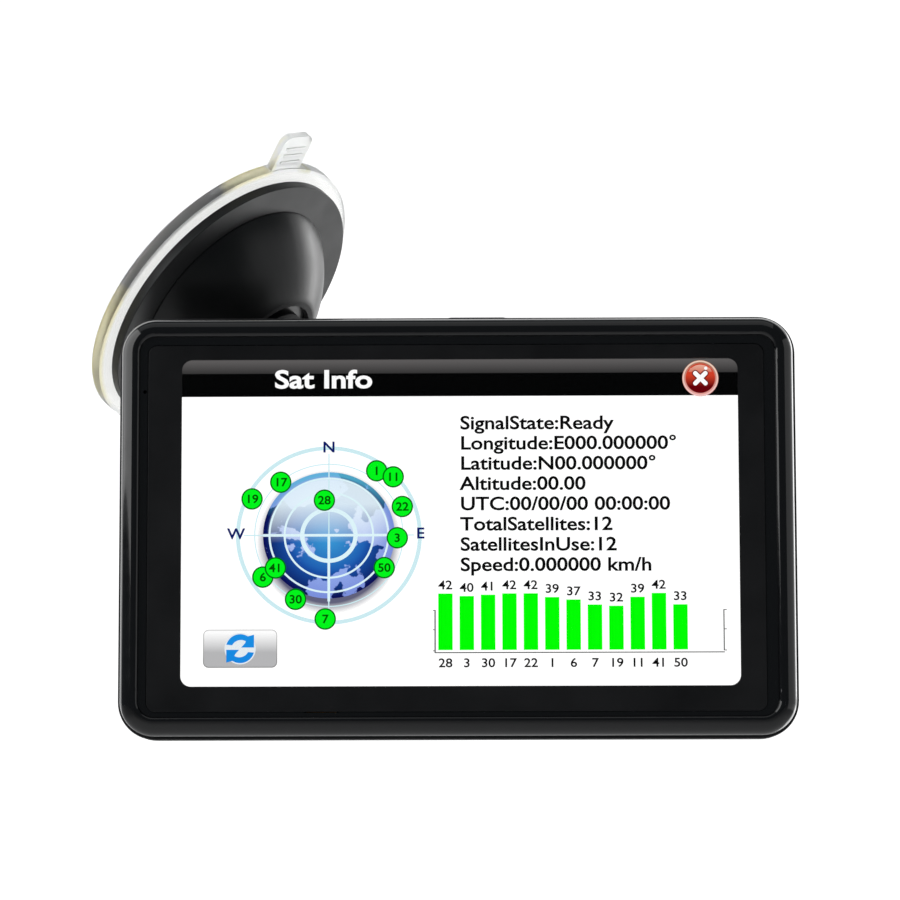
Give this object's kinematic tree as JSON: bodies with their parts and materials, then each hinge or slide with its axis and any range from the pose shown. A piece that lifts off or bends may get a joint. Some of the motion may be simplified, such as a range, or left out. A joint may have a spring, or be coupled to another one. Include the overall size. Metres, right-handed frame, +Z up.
{
  "type": "portable gps navigator",
  "caption": "Flat in-vehicle navigator with a glossy-framed touch screen, slid on a cradle that tilts and swivels on an arm from a lever-locked suction cup.",
  "frame": {"origin": "centre of the suction cup's face, where the mount holds on to a windscreen", "axes": "+X to the right along the screen's width, +Y away from the viewer of the screen, +Z up"},
  "size_m": [0.1461, 0.0941, 0.1299],
  "materials": {
    "gloss_black": "high-gloss moulded black plastic",
    "matt_black": "fine-textured moulded black plastic",
    "border_black": "matt printed film",
    "touch_glass": "clear touch glass",
    "display_cell": "lit display",
    "backlight": "white diffuser in a tin frame",
    "foam": "closed-cell foam",
    "clear_pvc": "clear soft vinyl, faintly yellow at the rim",
    "bell_black": "satin black plastic",
    "steel": "zinc-plated steel",
    "spring_steel": "spring steel",
    "brass": "machined brass",
    "board_green": "solder-masked circuit board",
    "chip_black": "moulded chip package",
    "tin": "tin-plated sheet",
    "ceramic": "unglazed antenna ceramic",
    "silver": "silver print",
    "wire_black": "insulated wire",
    "wire_red": "insulated wire",
    "flex": "polyimide flex",
    "battery_wrap": "foil pouch",
    "paper_cone": "pressed paper",
    "speaker_steel": "plated steel",
    "mesh": "woven dust cloth"
  },
  "bodies": {
    "suction_mount": {"suction_cup": "clear_pvc", "bell_housing": "bell_black", "return_spring": "spring_steel"},
    "stem": {"cup_stem": "steel"},
    "lever": {"cam_lever": "bell_black", "lever_pin": "steel"},
    "arm": {"arm_left_half": "matt_black", "arm_right_half": "matt_black", "arm_screws": "steel"},
    "knuckle": {"hinge_knuckle": "matt_black", "friction_washers": "steel", "hinge_bolt": "steel", "cradle_washer": "steel", "cradle_screw": "steel"},
    "knob": {"clamp_knob": "matt_black", "knob_insert": "brass"},
    "cradle": {"cradle_plate": "matt_black"},
    "button": {"power_button": "matt_black"},
    "navigator": {"front_bezel": "gloss_black", "rear_housing": "matt_black", "border_film": "border_black", "touch_panel": "touch_glass", "display_gasket": "foam", "lcd_panel": "display_cell", "backlight_unit": "backlight", "main_board": "board_green", "processor_chip": "chip_black", "memory_chips": "chip_black", "receiver_shield": "tin", "receiver_chip": "chip_black", "earphone_jack": "chip_black", "usb_socket": "tin", "card_socket": "tin", "power_switch": "chip_black", "reset_switch": "chip_black", "patch_antenna": "ceramic", "antenna_electrode": "silver", "antenna_lead": "wire_black", "speaker_mesh": "mesh", "speaker_frame": "speaker_steel", "speaker_cone": "paper_cone", "speaker_magnet": "speaker_steel", "battery_pack": "battery_wrap", "battery_lead": "wire_red", "speaker_lead": "wire_black", "display_ribbon": "flex", "touch_ribbon": "flex", "microphone": "chip_black", "housing_screws": "steel", "board_screws": "steel"}
  },
  "joints": [
    {"name": "stem_draw", "type": "slide", "parent": "suction_mount", "child": "stem", "axis": [0.6606, -0.3505, -0.6639], "range_m": [-0.0018, 0], "deforming": ["suction_cup", "return_spring"]},
    {"name": "lever_turn", "type": "hinge", "parent": "stem", "child": "lever", "pos_m": [0.00832, -0.00442, -0.00836], "axis": [-0.7088, 0, -0.7054], "range_deg": [0, 40]},
    {"name": "arm_swivel", "type": "hinge", "parent": "suction_mount", "child": "arm", "pos_m": [0.01982, -0.01052, -0.01992], "axis": [0.6606, -0.3505, -0.6639], "continuous": true},
    {"name": "arm_tilt", "type": "hinge", "parent": "arm", "child": "knuckle", "pos_m": [0.05252, -0.02787, -0.05278], "axis": [0.7088, 0, 0.7054], "range_deg": [-8, 60]},
    {"name": "clamp_turn", "type": "hinge", "parent": "knuckle", "child": "knob", "pos_m": [0.05252, -0.02787, -0.05278], "axis": [0.7088, 0, 0.7054], "range_deg": [0, 360]},
    {"name": "cradle_swivel", "type": "hinge", "parent": "knuckle", "child": "cradle", "pos_m": [0.05252, -0.02787, -0.05278], "axis": [0, -1, 0], "continuous": true},
    {"name": "unit_lift", "type": "slide", "parent": "cradle", "child": "navigator", "axis": [0, 0, 1], "range_m": [0, 0.046]},
    {"name": "power_press", "type": "slide", "parent": "navigator", "child": "button", "axis": [0, 0, -1], "range_m": [0, 0.0004], "stiffness_N_per_m": 2000}
  ],
  "couplings": [
    {"joint": "stem_draw", "follows": "lever_turn", "m_per_rad": -0.0025783}
  ]
}
